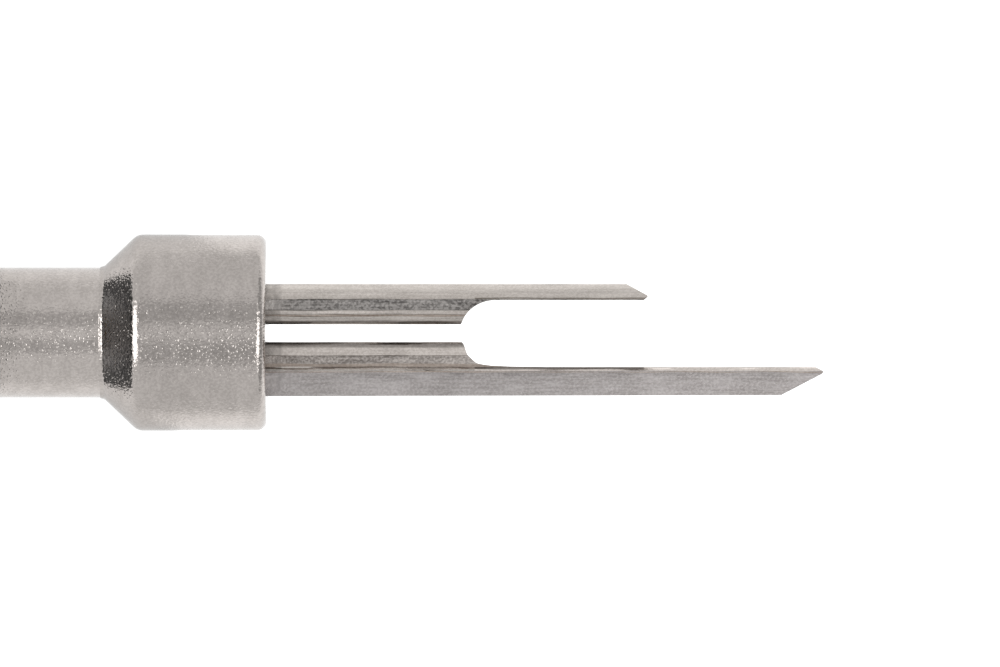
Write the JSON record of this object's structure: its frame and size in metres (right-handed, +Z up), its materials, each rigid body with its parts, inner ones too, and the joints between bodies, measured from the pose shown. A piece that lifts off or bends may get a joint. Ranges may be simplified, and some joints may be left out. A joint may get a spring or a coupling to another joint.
{
  "type": "spring bar tool",
  "caption": "Double-ended watchmaker's hand tool: a two-pronged fork and a fine push pin, each held in a collet chuck on a six-sided barrel.",
  "frame": {"origin": "centre of the tool's bounding box, at the bottom, on the surface that the barrel's lower flat rests on", "axes": "+X runs along the tool to the fork's points, +Y points from the long prong to the short prong, +Z is up"},
  "size_m": [0.14, 0.0108, 0.0096],
  "materials": {
    "satin_steel": "satin, fine grain",
    "ground_steel": "ground lengthwise, grainy channels",
    "spring_steel": "hardened and polished",
    "black_steel": "black oxide, fluted",
    "black_aluminium": "black anodised, satin",
    "brass": "machined",
    "rubber": "matt"
  },
  "bodies": {
    "handle": {"barrel": "black_aluminium", "front_nose": "spring_steel", "rear_nose": "spring_steel", "front_stop_pin": "spring_steel", "rear_stop_pin": "spring_steel", "front_grip_ring_1": "rubber", "front_grip_ring_2": "rubber", "front_grip_ring_3": "rubber", "rear_grip_ring_1": "rubber", "rear_grip_ring_2": "rubber", "rear_grip_ring_3": "rubber"},
    "fork_head": {"long_prong": "ground_steel", "short_prong": "ground_steel", "tang_spacer": "spring_steel", "retaining_pin": "spring_steel", "fork_collar": "satin_steel", "fork_shank": "satin_steel"},
    "front_collet": {"front_collet": "brass"},
    "front_nut": {"front_chuck_nut": "black_steel"},
    "push_pin": {"pin_shank": "satin_steel", "pin_point": "spring_steel"},
    "rear_collet": {"rear_collet": "brass"},
    "rear_nut": {"rear_chuck_nut": "black_steel"}
  },
  "joints": [
    {"name": "fork_slide", "type": "slide", "parent": "handle", "child": "fork_head", "axis": [1, 0, 0], "range_m": [0, 0.03]},
    {"name": "front_collet_slide", "type": "slide", "parent": "handle", "child": "front_collet", "axis": [1, 0, 0], "range_m": [0, 0.001]},
    {"name": "front_nut_turn", "type": "hinge", "parent": "front_collet", "child": "front_nut", "pos_m": [0.03, 0, 0.0048], "axis": [1, 0, 0], "range_deg": [0, 720]},
    {"name": "pin_slide", "type": "slide", "parent": "handle", "child": "push_pin", "axis": [-1, 0, 0], "range_m": [0, 0.03]},
    {"name": "rear_collet_slide", "type": "slide", "parent": "handle", "child": "rear_collet", "axis": [-1, 0, 0], "range_m": [0, 0.001]},
    {"name": "rear_nut_turn", "type": "hinge", "parent": "rear_collet", "child": "rear_nut", "pos_m": [-0.045, 0, 0.0048], "axis": [-1, 0, 0], "range_deg": [0, 720]}
  ],
  "couplings": [
    {"joint": "front_nut_turn", "follows": "front_collet_slide", "rad_per_m": 12566},
    {"joint": "rear_nut_turn", "follows": "rear_collet_slide", "rad_per_m": 12566}
  ]
}
